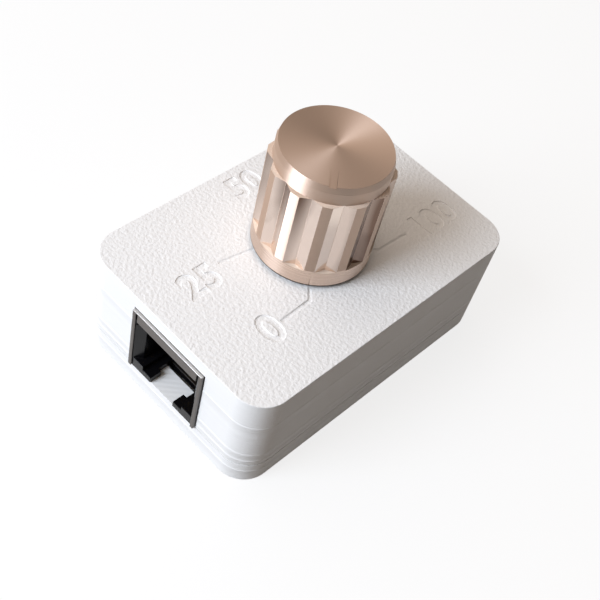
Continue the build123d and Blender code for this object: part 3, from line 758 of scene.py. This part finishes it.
ridge = (knob_radius**2 - flute_half_width**2) ** 0.5
flute_reach = flute_past * (ridge - flute_floor)
flute_low = knob_low.z + band_height
middle = (flute_floor + flute_reach) * MM
cutters = []
for i in range(flute_count):
    bpy.ops.object.select_all(action="DESELECT")
    bpy.ops.mesh.primitive_cylinder_add(vertices=4, radius=1 * MM, depth=1 * MM, location=(middle, 0, 0))
    groove = settle(bpy.context.object)
    bpy.ops.object.mode_set(mode="EDIT")
    bpy.ops.mesh.select_all(action="SELECT")
    stretch = (flute_reach, flute_past * flute_half_width, blank_top - flute_low)
    bpy.ops.transform.resize(value=stretch, center_override=(middle, 0, 0))
    bpy.ops.transform.translate(value=(0, 0, (flute_low + blank_top) / 2 * MM))
    bpy.ops.object.mode_set(mode="OBJECT")
    groove.rotation_euler.z = radians(pointer_angle + (i + 0.5) * 360 / flute_count)
    cutters.append(settle(groove))
cut_away(knob, *cutters)
print("flutes", flute_count, "floor radius", flute_floor)

# %% [markdown]
# ## Pointer slot
# The pointer is a plain slot without paint. It starts from nothing and deepens toward the rim,
# so it shows only by its two thin walls. The cutter is a cube with its inner lower edge raised to
# just above the knob's top. Before the cut, a small bevel gives all the knob's other edges the fine
# bright line of metal. The slot's own edges stay sharp, because it is milled last.

# %% Pointer slot and fine edges
pointer_width = 1.2
pointer_start = 4.6
pointer_depth = 0.25
pointer_rise = 1.02
edge_round = 0.07
edge_angle = 20

use_modifier(
    knob, "BEVEL", width=edge_round * MM, segments=2, limit_method="ANGLE", angle_limit=radians(edge_angle)
)
pointer_length = knob_radius - pointer_start
pointer_end_depth = pointer_depth * pointer_length / (neck_radius - pointer_start)
bpy.ops.object.select_all(action="DESELECT")
bpy.ops.mesh.primitive_cube_add(size=1, location=(0, 0, 0))
slot = bpy.context.object
slot.scale = (pointer_length * MM, pointer_width * MM, 2 * pointer_end_depth * MM)
slot.location = ((pointer_start + pointer_length / 2) * MM, 0, knob_high.z * MM)
settle(slot)
bpy.ops.object.mode_set(mode="EDIT")
inner = pointer_start + close
pick_edges(slot, lambda a, b: max(a.x, b.x) < inner and max(a.z, b.z) < knob_high.z)
bpy.ops.transform.translate(value=(0, 0, pointer_rise * pointer_end_depth * MM))
bpy.ops.object.mode_set(mode="OBJECT")
slot.rotation_euler.z = radians(pointer_angle)
settle(slot)
cut_away(knob, slot)
smooth_edges(knob, 13)
print("knob faces", len(knob.data.polygons))

# %% [markdown]
# ## Which finish goes where
# The top and the slot's floor are level and have the faced finish, and the level faces further
# down are the ledges. A flute's wall is upright but turned away from the radius by more than 12
# degrees, which tells it from the round parts. The slot's walls are the upright faces inside the
# bevel, near the top. All the rest is turned. The finishes are numbered as they are appended.

# %% Knob finishes
turned, milled, faced, ledge, slot_wall = range(5)
wall_turned_away = 12
flat_from = 0.97

for finish in (turned_champagne, milled_champagne, faced_champagne, painted_highlight_ledge_champagne, painted_shade_slot_champagne):
    knob.data.materials.append(finish)
counts = [0, 0, 0, 0, 0]
for face in knob.data.polygons:
    outward = Vector((face.center.x, face.center.y, 0)).normalized()
    sideways = Vector((face.normal.x, face.normal.y, 0))
    turned_away = sideways.normalized().dot(outward) < cos(radians(wall_turned_away))
    is_wall = sideways.length > mostly and turned_away
    height = face.center.z / MM
    reach = face.center.xy.length / MM
    if is_wall and height > knob_high.z - pointer_end_depth and reach < neck_radius - bevel_slope:
        face.material_index = slot_wall
    elif is_wall:
        face.material_index = milled
    elif face.normal.z > flat_from:
        face.material_index = faced if height > blank_top + close else ledge
    else:
        face.material_index = turned
    counts[face.material_index] += 1
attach(knob, "knob")
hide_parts("knob_body")
print("turned, milled, faced, ledge and slot faces", counts)

# %% [markdown]
# ## Materials of the other pieces
# The remaining pieces are small and mostly out of sight: metals that are plated, drawn or turned,
# and plastics that are moulded, pressed or extruded. Each still has its own grain. One noise,
# stretched to the grain's size in millimetres along X, Y and Z, drives the colour between two
# near tones, the roughness and a relief of a few microns, so that gloss and colour vary together as
# they do on a real surface. The two numbers after the colours are the least and the most
# roughness, then come the grain's size and the relief.

# %% Helper for grained materials
def grained_material(name, dark, light, rough_low, rough_high, grain, relief, **surface):
    """A material whose colour, roughness and relief follow one stretched noise. Sizes in mm."""
    material, tree, shader = new_material(name, **surface)
    place = add_node(tree, "ShaderNodeTexCoord")
    stretch = [1 / (size * MM) for size in grain]
    stretched = add_node(tree, "ShaderNodeMapping", Vector=place.outputs["Object"], Scale=stretch)
    noise = add_node(tree, "ShaderNodeTexNoise", Vector=stretched.outputs[0], Scale=1.0, Detail=3.0)
    noise = noise.outputs[0]
    tone = add_node(tree, "ShaderNodeMix", blend_colours, i0=noise, i6=linear(dark), i7=linear(light))
    tree.links.new(tone.outputs[2], shader.inputs["Base Color"])
    rough = add_node(tree, "ShaderNodeMapRange", Value=noise, i3=rough_low, i4=rough_high)
    tree.links.new(rough.outputs[0], shader.inputs["Roughness"])
    height = add_node(tree, "ShaderNodeMath", multiply, i0=noise, i1=relief)
    bump = add_node(tree, "ShaderNodeBump", Height=height.outputs[0], Distance=MM, Strength=1.0)
    tree.links.new(bump.outputs[0], shader.inputs["Normal"])
    return material


print("helper ready")

# %% [markdown]
# ## Metals
# Rolled sheet has long streaks, drawn wire has streaks along its length, and turned pieces have
# level rings, which a noise with a small size only along Z gives. Plating keeps the grain under it
# and sets the colour: tin is grey, zinc bluish, nickel a little yellow and gold deep yellow.

# %% Metals
# Tin plate on rolled steel, dull grey with long streaks
tin_plate = grained_material(
    "tinned_steel", "#5C5856", "#76716E", 0.28, 0.45, (2.5, 0.4, 0.4), 0.002, Metallic=1.0
)
# The same tin plate painted lighter, as painted highlight on the shield's upper edge
painted_highlight_tin_plate = grained_material(
    "painted_highlight_tinned_steel", "#B4B1AE", "#CBC8C5", 0.30, 0.45, (2.5, 0.4, 0.4), 0.002, Metallic=1.0
)
# Zinc plate on drawn screws and a punched washer, bluish and fairly bright
zinc_plate = grained_material(
    "zinc_plated_steel", "#A9AEB6", "#C2C7CE", 0.25, 0.40, (0.4, 0.4, 0.2), 0.002, Metallic=1.0
)
# Nickel plate on turned brass, a warm mirror broken by level rings
nickel_plate = grained_material(
    "nickel_plated_brass", "#AFA898", "#CBC5B6", 0.18, 0.32, (40, 40, 0.12), 0.004, Metallic=1.0
)
# Bare aluminium from the lathe, pale with level rings
bare_aluminium = grained_material(
    "turned_aluminium", "#BFC0C2", "#D6D7D9", 0.28, 0.42, (40, 40, 0.15), 0.004, Metallic=1.0
)
# Hard gold on drawn bronze wire, bright with streaks along X
gold_plate = grained_material(
    "gold_plated_bronze", "#D29A3A", "#EBC06A", 0.15, 0.28, (2.0, 0.15, 0.15), 0.001, Metallic=1.0
)
# Blued and oiled spring steel, dark and satin
spring_steel = grained_material(
    "oiled_spring_steel", "#3C3C40", "#5A5B60", 0.30, 0.48, (0.6, 0.6, 0.6), 0.002, Metallic=1.0
)
# Rolled phosphor bronze, reddish with streaks
rolled_bronze = grained_material(
    "rolled_phosphor_bronze", "#A9683A", "#C98B55", 0.24, 0.38, (1.5, 0.25, 0.5), 0.002, Metallic=1.0
)
print("metals from", tin_plate.name, "to", rolled_bronze.name)

# %% [markdown]
# ## Plastics and the board
# Moulded nylon with glass fibre has a fine sparkle and a soft shine, acetal is waxy, phenolic paper
# shows its fibres and extruded PVC insulation is smooth with streaks along the wire. The board's
# black solder mask is glossy, and the glass cloth under it shows as a faint weave about half a
# millimetre wide.

# %% Plastics and the board
# Glass-filled nylon as it leaves the mould, black with a weak mirror image
black_nylon = grained_material(
    "black_glass_filled_nylon", "#070709", "#0D0D10", 0.18, 0.30, (0.25, 0.25, 0.25), 0.006,
    IOR=1.5, Specular_IOR_Level=0.25,
)
# Solder mask over glass cloth, black and glossy
solder_mask = grained_material(
    "black_solder_mask", "#0C0C0F", "#17171B", 0.18, 0.30, (0.5, 0.5, 5), 0.02, IOR=1.52
)
# Punched phenolic paper, brown with short fibres
phenolic = grained_material(
    "phenolic_paper_laminate", "#6A3D1D", "#8C572D", 0.42, 0.58, (1.2, 0.4, 0.2), 0.01, IOR=1.6
)
# Screen-printed carbon ink, nearly black and matt
carbon_ink = grained_material(
    "printed_carbon_ink", "#131314", "#222224", 0.55, 0.70, (0.1, 0.1, 0.1), 0.005, IOR=1.5
)
# Moulded acetal, waxy and slightly yellow
acetal = grained_material(
    "white_acetal", "#D8D5CB", "#E7E5DD", 0.34, 0.46, (0.8, 0.8, 0.8), 0.006, IOR=1.48
)
# Extruded PVC insulation, smooth with streaks along the wire
red_pvc = grained_material("red_pvc", "#A81A16", "#C02A22", 0.34, 0.46, (0.2, 0.2, 3), 0.004, IOR=1.53)
white_pvc = grained_material("white_pvc", "#DAD9D4", "#E9E8E3", 0.34, 0.46, (0.2, 0.2, 3), 0.004, IOR=1.53)
black_pvc = grained_material("black_pvc", "#141415", "#202022", 0.34, 0.46, (0.2, 0.2, 3), 0.004, IOR=1.53)
print("plastics from", black_nylon.name, "to", black_pvc.name)

# %% [markdown]
# ## The jack
# The shield is tin-plated steel sheet, folded and left as it came from the press, and the body
# inside it is black nylon. Both keep the CAD shape. A copy with slightly rounded edges shows the
# thin bright lines that a folded sheet and a moulding have. The shield's level upper face, with the
# first step of its rounding, is painted in a lighter tin, as painted highlight.

# %% Jack
jack_edge_angle = 40
painted_highlight_margin = 0.05
shield_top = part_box("jack_shield")[1].z / MM

for node, name, material, slot_name, rounding in (
    ("jack_shield", "folded_shield", tin_plate, "tinned_steel", 0.12),
    ("jack_insert", "jack_body", black_nylon, "black_nylon", 0.08),
):
    piece = welded_copy(node, name)
    limit = radians(jack_edge_angle)
    use_modifier(piece, "BEVEL", width=rounding * MM, segments=2, limit_method="ANGLE", angle_limit=limit)
    smooth_edges(piece)
    piece.data.materials.append(material)
    if node == "jack_shield":
        piece.data.materials.append(painted_highlight_tin_plate)
        # Painted highlight: the shield's level upper faces get the lighter tin.
        for face in piece.data.polygons:
            gets_painted_highlight = face.normal.z > mostly and face.center.z / MM > shield_top - painted_highlight_margin
            face.material_index = 1 if gets_painted_highlight else 0
    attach(piece, "housing")
    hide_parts(node)
    print(name, "faces", len(piece.data.polygons))

# %% [markdown]
# ## Dressing the CAD pieces
# All other pieces keep their CAD mesh, which is already exact, and only get their material in the
# place of the plain one that the frame gave them.

# %% Materials on the CAD pieces
dress = {
    zinc_plate: ("cover_screws", "board_screws", "pot_washer"),
    tin_plate: ("pot_case", "pot_terminals"),
    nickel_plate: ("pot_bushing", "pot_nut"),
    bare_aluminium: ("pot_shaft",),
    gold_plate: ("jack_contacts",),
    spring_steel: ("shaft_clip",),
    rolled_bronze: ("pot_wiper",),
    black_nylon: ("jack_contact_block", "knob_insert"),
    solder_mask: ("circuit_board",),
    phenolic: ("pot_wafer",),
    carbon_ink: ("pot_track",),
    acetal: ("pot_rotor",),
    red_pvc: ("lead_wire_high",),
    white_pvc: ("lead_wire_wiper",),
    black_pvc: ("lead_wire_low",),
}
for material, names in dress.items():
    for name in names:
        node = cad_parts[name]
        node.data.materials.clear()
        node.data.materials.append(material)
print("pieces dressed", sum(len(names) for names in dress.values()))
